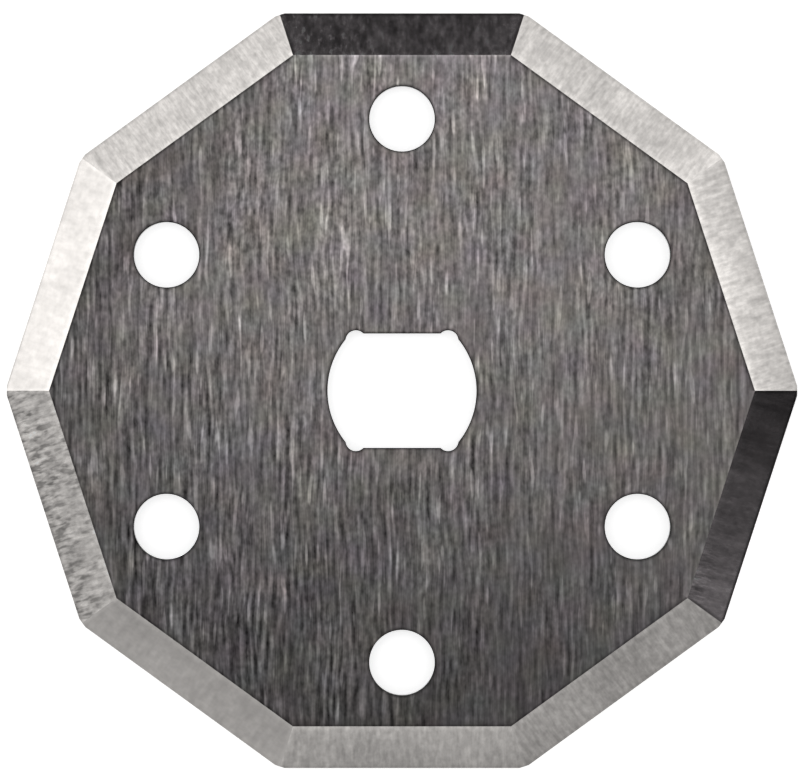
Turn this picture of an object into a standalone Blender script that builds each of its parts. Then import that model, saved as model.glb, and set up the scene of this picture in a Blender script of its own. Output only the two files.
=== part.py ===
"""Rotary cutter blade: a ten-sided driven blade of sintered carbide, ground from both sides.

Metres, +Z up. The blade lies flat with its lower face at Z = 0 and its axis on the Z axis.
Two of its ten corners lie on the X axis, and the flats of the drive hole run along X.
"""

import math

import bpy
from mathutils import Vector

# Blank: a round disc, lapped to thickness.
BLANK_DIAMETER = 0.0320
THICKNESS = 0.00063

# Grinding: ten flats round the rim, each with the same bevel from above and from below.
FLAT_COUNT = 10
CORNER_ARC = 0.00040  # what is left of the blank's rim between one flat and the next
BEVEL_ANGLE = math.radians(10.0)  # of one bevel to the blade's plane: half the cutting angle
HONE_ANGLE = math.radians(15.0)
HONE_WIDTH = 0.00005  # the fine second bevel along the cutting edge
EDGE_LAND = 0.00002  # height of the edge itself

# Six pin holes on a circle, which comes to 22.0 mm across.
PIN_HOLE_COUNT = 6
PIN_HOLE_DIAMETER = 0.00265
PIN_HOLE_WALL = 0.00125  # left between a hole and the nearest bevel

# Drive hole: two flats along X between two rounded sides, and a relief in each corner for the
# hub's sharp corner.
BORE_LENGTH = 0.00603  # across the rounded sides
BORE_SIDE_OFFSET = 0.00030  # each side's arc is centred this far beyond the axis, so it is flatter
BORE_FLAT_DEPTH = 0.00070  # half the length less half the width: the flats are 4.63 mm apart
RELIEF_DIAMETER = 0.00084
RELIEF_FLAT_OVERCUT = 0.00013  # how far a relief runs past the flat
RELIEF_SIDE_OVERCUT = 0.00007  # and past the rounded side

EDGE_BREAK = 0.00004  # 45 degree break on every hole's rim, above and below

# Modelling: how far cutters run past the faces, and the sides of each round form.
CUTTER_MARGIN = 0.0003
BLANK_SIDES = 360
BORE_SIDES = 180
PIN_HOLE_SIDES = 90
RELIEF_SIDES = 48

# Finish: dark grey, dull metal.
CARBIDE_GREY = (0.135, 0.127, 0.120, 1.0)
CARBIDE_ROUGHNESS = 0.42

# Worked out from these. Heights are above mid-thickness, distances from the axis to a flat.
MIDDLE = THICKNESS / 2
HALF_FLAT = math.pi / FLAT_COUNT  # from a flat's middle to its corner, seen from the axis
BLANK_RADIUS = BLANK_DIAMETER / 2
EDGE_DISTANCE = BLANK_RADIUS * math.cos(HALF_FLAT - CORNER_ARC / 2 / BLANK_RADIUS)
BEVEL_FOOT_DISTANCE = EDGE_DISTANCE - HONE_WIDTH
BEVEL_FOOT_HEIGHT = EDGE_LAND / 2 + HONE_WIDTH * math.tan(HONE_ANGLE)
FACE_DISTANCE = BEVEL_FOOT_DISTANCE - (MIDDLE - BEVEL_FOOT_HEIGHT) / math.tan(BEVEL_ANGLE)
PITCH_RADIUS = FACE_DISTANCE - PIN_HOLE_WALL - PIN_HOLE_DIAMETER / 2
BORE_SIDE_RADIUS = BORE_LENGTH / 2 + BORE_SIDE_OFFSET
BORE_HALF_WIDTH = BORE_LENGTH / 2 - BORE_FLAT_DEPTH  # from the axis to a flat of the drive hole


def clear_scene():
    for obj in list(bpy.data.objects):
        bpy.data.objects.remove(obj, do_unlink=True)


def new_collection(name):
    collection = bpy.data.collections.new(name)
    bpy.context.scene.collection.children.link(collection)
    return collection


def carbide():
    """Ground sintered carbide."""
    material = bpy.data.materials.new("ground_carbide")
    material.use_nodes = True
    shader = material.node_tree.nodes["Principled BSDF"]
    shader.inputs["Base Color"].default_value = CARBIDE_GREY
    shader.inputs["Metallic"].default_value = 1.0
    shader.inputs["Roughness"].default_value = CARBIDE_ROUGHNESS
    material.diffuse_color = CARBIDE_GREY
    return material


def as_cutter(obj):
    obj.hide_render = True
    obj.display_type = "WIRE"
    return obj


def mirrored_profile(upper_half):
    """A closed profile from its upper half, given as (radius, height above mid-thickness).

    It starts and ends on the axis and runs down the outer side.
    """
    above = [(radius, MIDDLE + height) for radius, height in upper_half]
    below = [(radius, MIDDLE - height) for radius, height in reversed(upper_half)]
    return [(0.0, above[0][1])] + above + below + [(0.0, below[-1][1])]


def turned(name, profile, sides, collection, first_corner=0.0, smooth=True):
    """The profile turned once round Z in the given number of sides, from its first corner on."""
    mesh = bpy.data.meshes.new(name)
    along = Vector((math.cos(first_corner), math.sin(first_corner), 0.0))
    points = [along * radius + Vector((0.0, 0.0, height)) for radius, height in profile]
    mesh.from_pydata(points, [(i, i + 1) for i in range(len(points) - 1)], [])
    obj = bpy.data.objects.new(name, mesh)
    collection.objects.link(obj)
    screw = obj.modifiers.new("turn", "SCREW")
    screw.axis = "Z"
    screw.angle = 2 * math.pi
    screw.steps = sides
    screw.render_steps = sides
    screw.use_merge_vertices = True
    screw.merge_threshold = EDGE_LAND / 20  # well under the finest step of any profile
    screw.use_smooth_shade = smooth
    return obj


def flared_profile(radius):
    """Profile of a hole cutter: straight through the blade, opening at 45 degrees at each face."""
    reach = EDGE_BREAK + CUTTER_MARGIN
    return mirrored_profile([(radius + reach, MIDDLE + CUTTER_MARGIN), (radius, MIDDLE - EDGE_BREAK)])


def boolean(obj, operation, other):
    modifier = obj.modifiers.new(other.name, "BOOLEAN")
    modifier.operation = operation
    modifier.object = other
    modifier.solver = "EXACT"


def ground_form(cutters):
    """What the grinding leaves room for: a ten-sided double bevel, higher than the blade.

    The profile is the section through a flat's middle. A corner lies further out than a flat,
    so every distance from the axis is divided by the cosine of half a flat's angle.
    """
    section = [
        (FACE_DISTANCE - CUTTER_MARGIN / math.tan(BEVEL_ANGLE), MIDDLE + CUTTER_MARGIN),
        (BEVEL_FOOT_DISTANCE, BEVEL_FOOT_HEIGHT),
        (EDGE_DISTANCE, EDGE_LAND / 2),
    ]
    to_corner = [(distance / math.cos(HALF_FLAT), height) for distance, height in section]
    profile = mirrored_profile(to_corner)
    return as_cutter(turned("ground_form", profile, FLAT_COUNT, cutters, smooth=False))


def bore_flats(cutters):
    """A square flared block, stretched along X past the sides: its long sides are the flats."""
    corner = math.pi / 4
    to_corner = [(r / math.cos(corner), z) for r, z in flared_profile(BORE_HALF_WIDTH)]
    block = turned("bore_flats", to_corner, 4, cutters, first_corner=corner, smooth=False)
    block.scale.x = BORE_LENGTH / BORE_HALF_WIDTH
    return as_cutter(block)


def bore_round(name, offset, cutters):
    """A flared round whose far side, seen across the axis from its centre, is a side of the hole."""
    round_form = turned(name, flared_profile(BORE_SIDE_RADIUS), BORE_SIDES, cutters)
    round_form.location.x = offset
    return as_cutter(round_form)


def bore_cutter(cutters):
    """The drive hole's outline: what two rounds share, cut off by the flats, and four reliefs."""
    bore = bore_round("bore_cutter", -BORE_SIDE_OFFSET, cutters)
    boolean(bore, "INTERSECT", bore_round("bore_left_side", BORE_SIDE_OFFSET, cutters))
    boolean(bore, "INTERSECT", bore_flats(cutters))
    relief_y = BORE_HALF_WIDTH + RELIEF_FLAT_OVERCUT - RELIEF_DIAMETER / 2
    from_side_centre = BORE_SIDE_RADIUS + RELIEF_SIDE_OVERCUT - RELIEF_DIAMETER / 2
    relief_x = math.sqrt(from_side_centre**2 - relief_y**2) - BORE_SIDE_OFFSET
    profile = flared_profile(RELIEF_DIAMETER / 2)
    for number, (side_x, side_y) in enumerate(((1, 1), (-1, 1), (-1, -1), (1, -1)), 1):
        relief = turned(f"corner_relief_{number}", profile, RELIEF_SIDES, cutters)
        relief.location = (side_x * relief_x, side_y * relief_y, 0.0)
        boolean(bore, "UNION", as_cutter(relief))
    return bore


def pin_hole_cutters(cutters):
    """One flared cutter for each pin hole. The first stands half a pitch round from +X."""
    profile = flared_profile(PIN_HOLE_DIAMETER / 2)
    pins = []
    for number in range(PIN_HOLE_COUNT):
        angle = (number + 0.5) * 2 * math.pi / PIN_HOLE_COUNT
        pin = turned(f"pin_hole_{number + 1}", profile, PIN_HOLE_SIDES, cutters)
        pin.location = (
            math.cos(angle) * PITCH_RADIUS,
            math.sin(angle) * PITCH_RADIUS,
            0.0,
        )
        pins.append(as_cutter(pin))
    return pins


def blade(parts, cutters):
    """The round blank, ground to ten bevelled flats, then cut through by its seven holes."""
    bpy.ops.mesh.primitive_cylinder_add(
        vertices=BLANK_SIDES,
        radius=BLANK_RADIUS,
        depth=THICKNESS,
        end_fill_type="NGON",
        location=(0.0, 0.0, MIDDLE),
    )
    obj = bpy.context.object
    obj.name = "blade"
    for collection in list(obj.users_collection):
        collection.objects.unlink(obj)
    parts.objects.link(obj)
    obj.data.materials.append(carbide())
    boolean(obj, "INTERSECT", ground_form(cutters))
    boolean(obj, "DIFFERENCE", bore_cutter(cutters))
    for pin in pin_hole_cutters(cutters):
        boolean(obj, "DIFFERENCE", pin)
    return obj


def build():
    clear_scene()
    parts = new_collection("rotary_cutter_blade")
    cutters = new_collection("cutters")
    blade(parts, cutters)


build()
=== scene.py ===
"""Rotary cutter blade, seen from straight above: its ground finish with painted light and shade, its floor,
light and camera.
"""

import math

import bpy
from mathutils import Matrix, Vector


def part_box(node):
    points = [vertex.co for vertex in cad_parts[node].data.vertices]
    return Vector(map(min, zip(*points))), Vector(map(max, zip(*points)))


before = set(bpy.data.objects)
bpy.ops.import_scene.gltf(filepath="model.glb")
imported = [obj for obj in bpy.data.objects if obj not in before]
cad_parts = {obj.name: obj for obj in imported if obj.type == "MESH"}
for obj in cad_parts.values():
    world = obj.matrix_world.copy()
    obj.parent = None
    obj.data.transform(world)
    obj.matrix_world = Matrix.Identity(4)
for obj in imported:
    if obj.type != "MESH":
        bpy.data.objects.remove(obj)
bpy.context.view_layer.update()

MM = 0.001
WHITE = (1.0, 1.0, 1.0, 1.0)

# The photograph's frame, and where the blade lies in it.
IMAGE_WIDTH = 800
IMAGE_HEIGHT = 784
PIXELS_PER_METRE = 24700.0
BLADE_CENTRE_PX = (402.0, 390.7)

# The blade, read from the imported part, in mm.
UPPER_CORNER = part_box("blade")[1]
THICKNESS = UPPER_CORNER.z / MM
EDGE_DISTANCE = UPPER_CORNER.y / MM
ON_UPPER_FACE = 0.999 * UPPER_CORNER.z  # a vertex above this height, in metres, lies on the upper face
BLADE_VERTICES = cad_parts["blade"].data.vertices
FACE_DISTANCE = max(vertex.co.y for vertex in BLADE_VERTICES if vertex.co.z > ON_UPPER_FACE) / MM
FACET_COUNT = 10
FACET_STEP = 2 * math.pi / FACET_COUNT
FIRST_FACET = FACET_STEP / 2  # azimuth of facet 0, which follows the corner on +X

# Its holes, in mm.
PIN_STEP = math.pi / 3
FIRST_PIN = PIN_STEP / 2
PITCH_RADIUS = 11.0
PIN_HOLE_RADIUS = 1.325
BORE_HALF_WIDTH = 2.315
BORE_SIDE_OFFSET = 0.300
BORE_SIDE_RADIUS = 3.315
RELIEF_PLACE = (1.866, 2.025)
RELIEF_RADIUS = 0.42

# The facets are numbered round Z, from -5 to 4. These have a finish of their own.
FACET_NUMBERS = range(-5, 5)
COARSE = -5
LOWER_SMOOTH = -4
BANDED = -1
PATCHY = 1
MOTTLED = 2
FINE = 3
UPPER_SMOOTH = 4
REST = None  # in a table by facet, all the facets that it doesn't name

# The noise node gives values about this one, and most of them within 1 / NOISE_GAIN of it.
NOISE_MIDDLE = 0.5
NOISE_GAIN = 4.0


class Field:
    """One output of a node. Arithmetic on it adds Math nodes."""

    def __init__(self, nodes, socket):
        self.nodes = nodes
        self.socket = socket

    def other_output(self, name):
        """Another output of the same node, by name or number."""
        return Field(self.nodes, self.socket.node.outputs[name])

    def __add__(self, other):
        return self.nodes.math("ADD", self, other)

    def __sub__(self, other):
        return self.nodes.math("SUBTRACT", self, other)

    def __rsub__(self, other):
        return self.nodes.math("SUBTRACT", other, self)

    def __mul__(self, other):
        return self.nodes.math("MULTIPLY", self, other)

    def __truediv__(self, other):
        return self.nodes.math("DIVIDE", self, other)

    def __pow__(self, other):
        return self.nodes.math("POWER", self, other)

    def __lt__(self, other):
        return self.nodes.math("LESS_THAN", self, other)

    def __gt__(self, other):
        return self.nodes.math("GREATER_THAN", self, other)

    def __abs__(self):
        return self.nodes.math("ABSOLUTE", self)

    def lesser(self, other):
        return self.nodes.math("MINIMUM", self, other)

    def greater(self, other):
        return self.nodes.math("MAXIMUM", self, other)

    def length(self, other):
        """Of the vector that has the two as its components."""
        return self.nodes.math("SQRT", self * self + other * other)

    __radd__ = __add__
    __rmul__ = __mul__


class Nodes:
    """Makes the nodes of one material or of the world."""

    def __init__(self, owner):
        owner.use_nodes = True
        self.tree = owner.node_tree
        self.tree.nodes.clear()

    def make(self, kind, settings=None, sockets=None, output=0):
        """Adds a node, makes its settings, then sets or links its sockets by name or number."""
        node = self.tree.nodes.new(kind)
        for name, value in (settings or {}).items():
            setattr(node, name, value)
        for name, value in (sockets or {}).items():
            if isinstance(value, Field):
                self.tree.links.new(value.socket, node.inputs[name])
            else:
                node.inputs[name].default_value = value
        return Field(self, node.outputs[output]) if len(node.outputs) else None

    def math(self, operation, *operands):
        return self.make("ShaderNodeMath", {"operation": operation}, dict(enumerate(operands)))

    def ramp(self, value, low, high, top=1.0):
        """0 where value is low, top where it is high, and smooth between them."""
        sockets = {"Value": value, "From Min": low, "From Max": high, "To Max": top}
        return self.make("ShaderNodeMapRange", {"interpolation_type": "SMOOTHSTEP"}, sockets)

    def near(self, distance, core, reach, top=1.0):
        """top out to the core, 0 past the reach, and smooth between them."""
        return self.ramp(distance, reach, core, top)

    def distance(self, first, second):
        sockets = {0: first, 1: second}
        return self.make("ShaderNodeVectorMath", {"operation": "DISTANCE"}, sockets, output="Value")

    def multiply(self, first, second):
        return self.make("ShaderNodeVectorMath", {"operation": "MULTIPLY"}, {0: first, 1: second})

    def scale(self, vector, factor):
        return self.make("ShaderNodeVectorMath", {"operation": "SCALE"}, {0: vector, "Scale": factor})

    def combine(self, x, y, z):
        return self.make("ShaderNodeCombineXYZ", None, {0: x, 1: y, 2: z})

    def mix(self, factor, first, second):
        sockets = {0: factor, 6: first, 7: second}
        return self.make("ShaderNodeMix", {"data_type": "RGBA"}, sockets, output=2)

    def noise(self, first, second, apart, layer):
        """Noise over two measures in mm, about 0 and mostly within 1 of it.

        The layer says how many cells a mm of either measure holds, the level and the detail. Layers
        on other levels, and equal layers set apart, are at random to each other.
        """
        first_cells, second_cells, level, detail = layer
        point = self.combine(first * first_cells, second * second_cells, apart + level)
        sockets = {"Vector": point, "Scale": 1.0, "Detail": detail}
        return (self.make("ShaderNodeTexNoise", None, sockets) - NOISE_MIDDLE) * NOISE_GAIN


# How many levels of noise lie between the two sides of the blade, and between neighbouring facets.
# Most layers keep off whole levels, because noise looks regular there.
SIDE_LEVELS = 37.0
FACET_LEVELS = 11.0


class Place:
    """Where a point lies on the blade, in mm, seen from its own facet of the ten."""

    def __init__(self, nodes):
        self.nodes = nodes
        point = nodes.scale(nodes.make("ShaderNodeTexCoord", output="Object"), 1 / MM)
        split = nodes.make("ShaderNodeSeparateXYZ", None, {0: point})
        self.x, self.y, self.z = (split.other_output(number) for number in range(3))
        self.facet, azimuth = self.nearest(FIRST_FACET, FACET_STEP)
        self.on_facet = {number: abs(self.facet - number) < 0.5 for number in FACET_NUMBERS}
        cosine = nodes.math("COSINE", azimuth)
        sine = nodes.math("SINE", azimuth)
        self.outward = self.x * cosine + self.y * sine
        self.along = self.y * cosine - self.x * sine
        self.past_ridge = self.outward - FACE_DISTANCE
        self.to_rim = EDGE_DISTANCE - self.outward
        self.to_mitre = self.outward * math.sin(FACET_STEP / 2) - abs(self.along) * math.cos(FACET_STEP / 2)
        self.bevel = self.past_ridge > 0.0
        self.depth = THICKNESS / 2 - abs(self.z - THICKNESS / 2)  # below the nearer face
        self.side = (self.z > THICKNESS / 2) * SIDE_LEVELS  # so that the two sides differ
        self.to_hole = self.to_pin_hole().lesser(self.to_drive_hole())

    def nearest(self, first, step):
        """The number and the azimuth of the nearest of the directions that lie a step apart."""
        turn = (self.nodes.math("ARCTAN2", self.y, self.x) - first) / step
        number = self.nodes.math("ROUND", turn)
        return number, number * step + first

    def to_pin_hole(self):
        """Distance to the wall of the nearest pin hole."""
        azimuth = self.nearest(FIRST_PIN, PIN_STEP)[1]
        across = self.x - self.nodes.math("COSINE", azimuth) * PITCH_RADIUS
        up = self.y - self.nodes.math("SINE", azimuth) * PITCH_RADIUS
        return across.length(up) - PIN_HOLE_RADIUS

    def to_drive_hole(self):
        """Distance to the drive hole: its two flats and two rounded sides, and its corner reliefs."""
        across, up = abs(self.x), abs(self.y)
        to_side = (across + BORE_SIDE_OFFSET).length(up) - BORE_SIDE_RADIUS
        to_bore = (up - BORE_HALF_WIDTH).greater(to_side)
        to_relief = (across - RELIEF_PLACE[0]).length(up - RELIEF_PLACE[1]) - RELIEF_RADIUS
        return to_bore.lesser(to_relief)

    def towards(self, direction):
        """How far the point lies from the axis in a direction, or that times the direction's length."""
        return self.x * direction[0] + self.y * direction[1]

    def by_facet(self, table):
        """The number that the table gives for the facet, or else its number for the rest."""
        value = table[REST]
        for facet, number in table.items():
            if facet is not REST:
                value = self.on_facet[facet] * (number - table[REST]) + value
        return value


# The looks below are given in tuples of three kinds. A layer of noise is cells per mm in its first
# and in its second measure, level and detail. A ramp is low, high and how much it adds where its
# measure is high. A line is how far it is full, how far it reaches, and how much it takes or adds.
# Where a tuple lacks its last number, the amount is 1 or is named beside it. Distances are in mm.

# Streaks on the faces: their noise has X and Y as its measures.
STREAKS_PER_MM = 5.6
BENDS = (0.3, 0.3, 0.45, 0.0)
SWAY = 0.25 / STREAKS_PER_MM  # the most that a bend moves a streak sideways
LONG_STREAKS = (STREAKS_PER_MM, 0.56, 0.45, 2.0)
SHORT_STREAKS = (STREAKS_PER_MM, 3.6, 5.45, 1.0)
SCRATCHES = (1.1 * STREAKS_PER_MM, 0.8, 9.45, 0.0)
# A long streak is set off from its neighbours by a share of what lies this far to either side.
FLANK = 0.8 / STREAKS_PER_MM
FLANK_SHARE = 0.21
LONG_STRENGTH = 0.355
SHORT_STRENGTH = 0.16
SCRATCH_STRENGTH = (0.62, 1.15, 0.33)
# What changes with the height on the face.
UPPER_PART = (1.0, 6.0)
LONG_LESS_ABOVE = 0.035
SHORT_MORE_ABOVE = 0.055
# How clear the streaks are: patchy, and weaker towards the top, the right and the lower right.
PATCHES = (0.55, 0.40, 13.0, 0.0)
PATCH_LEAST = 0.82
PATCH_RAMP = (-0.9, 0.9, 0.36)
CLEAREST = 1.03
WEAKER_ABOVE = 0.07
WEAKER_RIGHT = (-5.0, 6.0, 0.13)
LOWER_RIGHT = (1.0, -1.0)
WEAKER_LOWER_RIGHT = (6.0, 17.0, 0.19)

# Tone of the faces, before the streaks and where it changes: painted shade towards the upper left and
# painted light towards the right.
FACE_LEVEL = 1.005
UPPER_LEFT = (-0.81, 0.59)
PAINTED_SHADE_UPPER_LEFT = (9.2, 13.6, 0.11)
RIGHT = (0.94, -0.34)
PAINTED_LIGHT_RIGHT = (9.0, 12.6, 0.06)
# Beside the bevels' ridge: a soft painted shade, and a fine line of painted shade that is darker
# above the axis. Beside the two dark bevels both are painted highlights instead.
RIDGE_SOFT_PAINTED_SHADE = (0.0, 0.34, 0.08)
RIDGE_LINE = (0.03, 0.12)
RIDGE_LINE_PAINTED_SHADE = 0.16
RIDGE_LINE_PAINTED_SHADE_ABOVE = 0.10
RIDGE_SHARE = {REST: 1.0, MOTTLED: -0.4, BANDED: -0.4}
# A painted shade on the face round the holes.
HOLE_PAINTED_SHADE = (0.04, 0.14, 0.22)
# Painted shade on the broken edges and in the holes, darker with depth.
BREAK_SHADE = (0.004, 0.012, 0.50)  # on the broken edges and in the holes, by depth


def face_tone(nodes, place):
    """Streaks along Y, with a few bright scratches among them, and painted light and shade. Returns the tone
    and the streaks.
    """

    def noise(across, layer):
        return nodes.noise(across, place.y, place.side, layer)

    across = place.x + noise(place.x, BENDS) * SWAY
    flanks = noise(across - FLANK, LONG_STREAKS) + noise(across + FLANK, LONG_STREAKS)
    long = noise(across, LONG_STREAKS) - flanks * FLANK_SHARE
    short = noise(across, SHORT_STREAKS)
    scratches = nodes.ramp(noise(across, SCRATCHES), *SCRATCH_STRENGTH)

    upper = nodes.ramp(place.y, *UPPER_PART)
    to_lower_right = place.towards(LOWER_RIGHT)
    weaker = nodes.ramp(place.x, *WEAKER_RIGHT) + nodes.ramp(to_lower_right, *WEAKER_LOWER_RIGHT)
    patchy = nodes.ramp(noise(place.x, PATCHES), *PATCH_RAMP) + PATCH_LEAST
    clear = patchy * (CLEAREST - weaker - upper * WEAKER_ABOVE)
    long = long * (LONG_STRENGTH - upper * LONG_LESS_ABOVE)
    short = short * (SHORT_STRENGTH + upper * SHORT_MORE_ABOVE)
    streaks = (long + short) * clear
    tone = 1 + streaks + scratches * clear

    # Painted shade towards the upper left and painted light towards the right.
    darker = nodes.ramp(place.towards(UPPER_LEFT), *PAINTED_SHADE_UPPER_LEFT)
    brighter = nodes.ramp(place.towards(RIGHT), *PAINTED_LIGHT_RIGHT)
    tone = tone * (FACE_LEVEL - darker + brighter)
    # Painted shade beside the ridge, and painted highlights beside the two dark bevels.
    from_ridge = abs(place.past_ridge)
    line = nodes.near(from_ridge, *RIDGE_LINE) * (RIDGE_LINE_PAINTED_SHADE + (place.y > 0.0) * RIDGE_LINE_PAINTED_SHADE_ABOVE)
    by_ridge = (nodes.near(from_ridge, *RIDGE_SOFT_PAINTED_SHADE) + line) * place.by_facet(RIDGE_SHARE)
    # Painted shade round the holes.
    painted_shade_by_hole = nodes.near(place.to_hole, *HOLE_PAINTED_SHADE)
    # Painted shade in the broken edges and the holes, by depth.
    painted_shade_in_break = nodes.ramp(place.depth, *BREAK_SHADE)
    return tone * (1 - by_ridge) * (1 - painted_shade_by_hole) * (1 - painted_shade_in_break), streaks


# Marks on the bevels: their noise has the way along the edge and the way outwards as its measures.
# On some facets the marks lie closer or wider, by a share.
CLOSENESS = {REST: 1.0, FINE: 1.3, UPPER_SMOOTH: 0.6, LOWER_SMOOTH: 0.6}
GRAIN = (5.3, 4.5, 0.45, 1.0)
GRAIN_STRENGTH = {REST: 0.068, UPPER_SMOOTH: 0.034, LOWER_SMOOTH: 0.034, COARSE: 0.098, MOTTLED: 0.148}
LINES = (6.3, 1.5, 1.45, 1.0)
LINE_STRENGTH = {REST: 0.072, UPPER_SMOOTH: 0.038, LOWER_SMOOTH: 0.038, BANDED: 0.042}
CLOUDS = (0.5, 0.6, 3.45, 0.0)
CLOUD_STRENGTH = {REST: 0.04, PATCHY: 0.07, UPPER_SMOOTH: 0.02, LOWER_SMOOTH: 0.02}
MARK_LEVEL = {REST: 0.0, PATCHY: 0.012, COARSE: 0.04, MOTTLED: -0.03, BANDED: 0.04}
RIPPLES = (6.4, 2.2, 6.45, 1.5)

# The coarse bevel is scored by the ripples: worst by the rim, towards one end and in patches.
GROOVES = (0.0, 0.6, 0.36)
CRESTS = (-0.05, -0.6, 0.20)
WORSE_BY_RIM = (1.5, 0.3, 0.50)
WORSE_TO_END = (4.6, -2.0, 0.25)
WORSE_PATCHES = (0.9, 0.5, 18.45, 0.0)
WORSE_IN_PATCHES = (-0.5, 0.7, 0.30)

# The mottled bevel has pale flecks, most of them towards one end.
MOTTLES = (3.8, 2.0, 9.45, 1.0)
MOTTLE_STRENGTH = 0.20
FLECKS = (6.0, 3.0, 15.45, 1.0)
FLECK_RAMP = (0.30, 0.90)
FLECK_LEAST = 0.10
FLECKS_TO_END = (0.0, 4.0, 0.35)

# The banded bevel is torn by the ripples near its ridge at one end, and has painted shade towards the other.
BANDS = (2.2, 0.5, 12.45, 0.0)
BAND_STRENGTH = 0.10
TORN_BY_RIDGE = (1.2, 0.2)
TORN_TO_END = (0.0, -4.0, 0.20)
PAINTED_SHADE_TO_END = (-1.0, 5.0, 0.20)

# Tone of the bevels: its level before the marks and after them, the lines along their borders, which
# are painted highlights and painted shade, and how much of it is lost per mm outwards from the middle,
# a painted shade that turns to painted light where the loss is negative.
BEVEL_LEVEL = 1.01
MIDDLE_LEVEL = 0.99
MIDDLE_PAST_RIDGE = 0.85
# Painted shade outwards from the middle of each bevel; a negative loss is painted light.
OUTWARD_PAINTED_SHADE = {REST: 0.012, 0: 0.087, -3: 0.062, COARSE: 0.032, -2: -0.008, LOWER_SMOOTH: -0.038}
# Painted highlight beside the ridge, painted shade along the rim, and along the mitres a painted highlight
# that turns to painted shade beside the two dark bevels.
BEVEL_RIDGE_PAINTED_HIGHLIGHT = (0.02, 0.26, 0.07)
RIM_LINE = (0.06, 0.15)
RIM_PAINTED_SHADE = {REST: 0.05, MOTTLED: 0.25, BANDED: 0.25, UPPER_SMOOTH: 0.015, LOWER_SMOOTH: 0.015}
MITRE_LINE = (0.02, 0.16)
MITRE_PAINTED_HIGHLIGHT = {REST: 0.05, MOTTLED: -0.25, BANDED: -0.25}


def bevel_tone(nodes, place):
    """Fine marks square to the edge. Some facets have their own. The tone also holds painted highlights and
    painted shade. Returns the tone and the marks.
    """
    along = place.along * place.by_facet(CLOSENESS)
    apart = place.facet * FACET_LEVELS + place.side

    def noise(layer):
        return nodes.noise(along, place.outward, apart, layer)

    marks = noise(GRAIN) * place.by_facet(GRAIN_STRENGTH) + noise(LINES) * place.by_facet(LINE_STRENGTH)
    marks = marks + noise(CLOUDS) * place.by_facet(CLOUD_STRENGTH) + place.by_facet(MARK_LEVEL)
    ripples = noise(RIPPLES)

    worse = nodes.ramp(place.to_rim, *WORSE_BY_RIM) + nodes.ramp(place.along, *WORSE_TO_END)
    worse = worse + nodes.ramp(noise(WORSE_PATCHES), *WORSE_IN_PATCHES)
    grooves = nodes.ramp(ripples, *GROOVES) - nodes.ramp(ripples, *CRESTS)
    marks = marks - place.on_facet[COARSE] * worse * grooves

    flecks = nodes.ramp(noise(FLECKS), *FLECK_RAMP) * (nodes.ramp(place.along, *FLECKS_TO_END) + FLECK_LEAST)
    marks = marks + place.on_facet[MOTTLED] * (noise(MOTTLES) * MOTTLE_STRENGTH + flecks)

    torn = ripples * nodes.ramp(place.past_ridge, *TORN_BY_RIDGE) * nodes.ramp(place.along, *TORN_TO_END)
    # Painted shade, darker towards the end of the banded bevel on +X.
    painted_end_shade = nodes.ramp(place.along, *PAINTED_SHADE_TO_END)
    marks = marks + place.on_facet[BANDED] * (noise(BANDS) * BAND_STRENGTH - torn - painted_end_shade)

    # Painted highlights beside the ridge and the mitres, and painted shade along the rim.
    tone = (BEVEL_LEVEL + marks) * (1 + nodes.near(place.past_ridge, *BEVEL_RIDGE_PAINTED_HIGHLIGHT))
    tone = tone * (1 - nodes.near(place.to_rim, *RIM_LINE) * place.by_facet(RIM_PAINTED_SHADE))
    tone = tone * (1 + nodes.near(place.to_mitre, *MITRE_LINE) * place.by_facet(MITRE_PAINTED_HIGHLIGHT))
    # Painted shade outwards, painted light where the loss is negative.
    past_middle = place.past_ridge - MIDDLE_PAST_RIDGE
    return tone * (MIDDLE_LEVEL - past_middle * place.by_facet(OUTWARD_PAINTED_SHADE)), marks


# Colours are linear reflectances, and a tone is a share of the brightness on the screen: to the
# power of SCREEN_GAMMA it is a share of the reflectance.
SCREEN_GAMMA = 2.2
FACE_COLOUR = (0.211, 0.196, 0.195)
BEVEL_COLOUR = (0.600, 0.576, 0.554, 1.0)
DARK_BEVEL_COLOUR = (0.600, 0.550, 0.568, 1.0)
# Tint of the faces, as shares of their colour: specks of warm grey and of green, and from the bottom
# to the top a little more red and less blue.
WARM_SPECKS = (1.0, 1.0, 20.5, 0.0)
WARM_RED = 0.016
WARM_BLUE = 0.0368
GREEN_SPECKS = (1.0, 1.0, 25.5, 0.0)
GREEN = 0.038
TOP = (0.4, 1.0)
TO_TOP = (-9.0, 6.0)
RED_AT_BOTTOM = 0.986
RED_TO_TOP = 0.014
BLUE_AT_BOTTOM = 1.002
BLUE_TO_TOP = 0.022
# Roughness and relief.
FACE_ROUGHNESS = 0.30
BRIGHT_STREAKS_ROUGHER = 0.06
BEVEL_ROUGHNESS = 0.11
STREAK_RELIEF = 1.5
RELIEF_STRENGTH = 0.5
RELIEF_DEPTH = 0.000004


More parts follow.
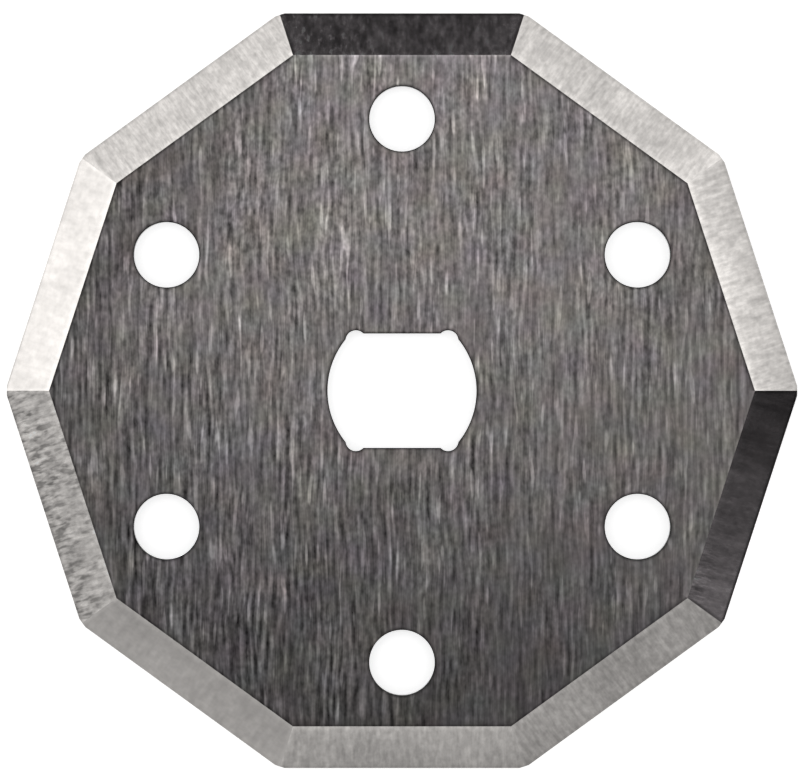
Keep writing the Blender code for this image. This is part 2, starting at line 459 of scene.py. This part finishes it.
def ground_carbide():
    """Sintered carbide, ground: streaks along Y on the faces, fine marks square to each edge, and painted
    light and shade.
    """
    material = bpy.data.materials.new("ground_carbide_finish_and_painted_light")
    nodes = Nodes(material)
    place = Place(nodes)
    tone_of_face, streaks = face_tone(nodes, place)
    tone_of_bevel, marks = bevel_tone(nodes, place)

    warm = nodes.noise(place.x, place.y, place.side, WARM_SPECKS)
    green = nodes.noise(place.x, place.y, place.side, GREEN_SPECKS)
    to_top = nodes.ramp(place.towards(TOP), *TO_TOP)
    red = warm * WARM_RED + to_top * RED_TO_TOP + RED_AT_BOTTOM
    blue = BLUE_AT_BOTTOM - warm * WARM_BLUE - to_top * BLUE_TO_TOP
    face = nodes.multiply(nodes.combine(red, green * GREEN + 1, blue), FACE_COLOUR)
    face = nodes.scale(face, tone_of_face**SCREEN_GAMMA)
    dark = place.on_facet[MOTTLED] + place.on_facet[BANDED]
    bevel = nodes.scale(nodes.mix(dark, BEVEL_COLOUR, DARK_BEVEL_COLOUR), tone_of_bevel**SCREEN_GAMMA)

    relief = (1 - place.bevel) * streaks * STREAK_RELIEF + place.bevel * marks
    rough_face = streaks * BRIGHT_STREAKS_ROUGHER + FACE_ROUGHNESS
    rough = place.bevel * (BEVEL_ROUGHNESS - rough_face) + rough_face
    sockets = {"Strength": RELIEF_STRENGTH, "Distance": RELIEF_DEPTH, "Height": relief}
    bump = nodes.make("ShaderNodeBump", None, sockets)
    shader = nodes.make(
        "ShaderNodeBsdfPrincipled",
        None,
        {
            "Base Color": nodes.mix(place.bevel, face, bevel),
            "Metallic": 1.0,
            "Roughness": rough,
            "Normal": bump,
        },
    )
    nodes.make("ShaderNodeOutputMaterial", None, {"Surface": shader})
    return material


# The floor: a white board that also glows for the camera, so that it comes out white.
FLOOR_SIZE = 1.2
FLOOR_HEIGHT = -0.00001  # just below the blade's lower face
BOARD_COLOUR = (0.85, 0.85, 0.85, 1.0)
GLOW = 0.67


def seen_plainly(nodes):
    """1 for the camera's own rays, and for those that reach it by way of metal or glass."""
    ray = nodes.make("ShaderNodeLightPath", output="Is Camera Ray")
    return ray.greater(ray.other_output("Is Glossy Ray").greater(ray.other_output("Is Transmission Ray")))


def floor():
    bpy.ops.object.select_all(action="DESELECT")
    bpy.ops.mesh.primitive_plane_add(size=FLOOR_SIZE, location=(0.0, 0.0, FLOOR_HEIGHT))
    plane = bpy.context.object
    plane.name = "floor"
    material = bpy.data.materials.new("white_table")
    nodes = Nodes(material)
    white = nodes.make("ShaderNodeEmission", None, {"Color": WHITE, "Strength": GLOW})
    board = nodes.make("ShaderNodeBsdfDiffuse", None, {"Color": BOARD_COLOUR})
    dark = nodes.make("ShaderNodeEmission", None, {"Strength": 0.0})
    glow = nodes.make("ShaderNodeMixShader", None, {0: seen_plainly(nodes), 1: dark, 2: white})
    both = nodes.make("ShaderNodeAddShader", None, {0: board, 1: glow})
    nodes.make("ShaderNodeOutputMaterial", None, {"Surface": both})
    plane.data.materials.append(material)


# Soft light in the dome overhead: (azimuth, tilt from straight up, core, edge, brightness added), in
# degrees. A patch is even out to its core and has faded away at its edge.
SURROUND = 0.53
SOFT_LIGHTS = (
    (142.0, 22.0, 10.0, 20.0, 0.575),
    (163.0, 25.0, 8.5, 12.5, 0.45),
    (31.0, 26.0, 14.0, 18.0, 0.53),
)
# Dark screens: the same, with the share of the light that each takes away.
SCREENS = (
    (90.0, 27.0, 9.0, 13.0, 0.885),
    (-10.0, 22.5, 2.0, 9.8, 0.985),
    (-18.0, 34.5, 5.5, 9.5, 0.93),
    (0.0, 0.0, 9.0, 19.0, 0.925),
    (-54.0, 21.0, 8.0, 14.0, 0.09),
)


def direction(azimuth_deg, tilt_deg):
    """The direction that leans from straight up by the tilt, towards the azimuth."""
    azimuth, tilt = math.radians(azimuth_deg), math.radians(tilt_deg)
    return Vector((math.sin(tilt) * math.cos(azimuth), math.sin(tilt) * math.sin(azimuth), math.cos(tilt)))


def studio_light():
    """The dome, which the camera sees as plain white."""
    world = bpy.data.worlds.new("studio")
    bpy.context.scene.world = world
    nodes = Nodes(world)
    ray = nodes.make("ShaderNodeTexCoord", output="Generated")

    def patch(azimuth, tilt, core, edge):
        distance = nodes.distance(ray, direction(azimuth, tilt))
        return nodes.near(distance, math.radians(core), math.radians(edge))

    level = SURROUND
    for *place, brightness in SOFT_LIGHTS:
        level = patch(*place) * brightness + level
    for *place, share in SCREENS:
        level = level * (1 - patch(*place) * share)
    seen = nodes.make("ShaderNodeLightPath", output="Is Camera Ray")
    sockets = {"Color": WHITE, "Strength": seen + (1 - seen) * level}
    background = nodes.make("ShaderNodeBackground", None, sockets)
    nodes.make("ShaderNodeOutputWorld", None, {"Surface": background})


# The card hangs close above the blade. Its brightest spot lies off its middle, fades away over a
# reach, and adds a share of the card's brightness. Lengths are in metres.
CARD_CENTRE = (0.002, 0.0122, 0.060)
CARD_SIZE = (0.037, 0.0354)
CARD_TURN = math.radians(-8)
CARD_BRIGHTNESS = 0.91
SPOT_PLACE = (-0.002, 0.007, 0.0)
SPOT_REACH = 0.010
SPOT_SHARE = 0.72


def card():
    """A small bright card that lights the blade's face from the top edge down."""
    bpy.ops.object.select_all(action="DESELECT")
    bpy.ops.mesh.primitive_plane_add(size=1.0, location=CARD_CENTRE, rotation=(0.0, 0.0, CARD_TURN))
    sheet = bpy.context.object
    sheet.name = "card"
    sheet.scale = (*CARD_SIZE, 1.0)
    bpy.ops.object.transform_apply(location=False, rotation=False, scale=True)
    sheet.visible_camera = False
    material = bpy.data.materials.new("bright_card")
    nodes = Nodes(material)
    from_spot = nodes.distance(nodes.make("ShaderNodeTexCoord", output="Object"), SPOT_PLACE)
    strength = (nodes.near(from_spot, 0.0, SPOT_REACH, SPOT_SHARE) + 1) * CARD_BRIGHTNESS
    glow = nodes.make("ShaderNodeEmission", None, {"Color": WHITE, "Strength": strength})
    nodes.make("ShaderNodeOutputMaterial", None, {"Surface": glow})
    sheet.data.materials.append(material)


# The camera looks straight down. Lengths are in metres, but for the sensor's, which is in mm.
CAMERA_HEIGHT = 0.25  # above the middle of the blade
SENSOR_WIDTH = 36.0
CLIP_NEAR = 0.01
CLIP_FAR = 10.0


def camera():
    data = bpy.data.cameras.new("camera")
    data.sensor_width = SENSOR_WIDTH
    data.lens = SENSOR_WIDTH * CAMERA_HEIGHT * PIXELS_PER_METRE / IMAGE_WIDTH
    data.clip_start = CLIP_NEAR
    data.clip_end = CLIP_FAR
    eye = bpy.data.objects.new("camera", data)
    across = (IMAGE_WIDTH / 2 - BLADE_CENTRE_PX[0]) / PIXELS_PER_METRE
    up = (BLADE_CENTRE_PX[1] - IMAGE_HEIGHT / 2) / PIXELS_PER_METRE
    eye.location = (across, up, THICKNESS * MM / 2 + CAMERA_HEIGHT)
    bpy.context.scene.collection.objects.link(eye)
    bpy.context.scene.camera = eye


def finish_blade():
    material = ground_carbide()
    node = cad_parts["blade"]
    for slot in node.material_slots:
        slot.material = material


finish_blade()
floor()
studio_light()
card()
camera()
bpy.context.scene.view_settings.view_transform = "Standard"
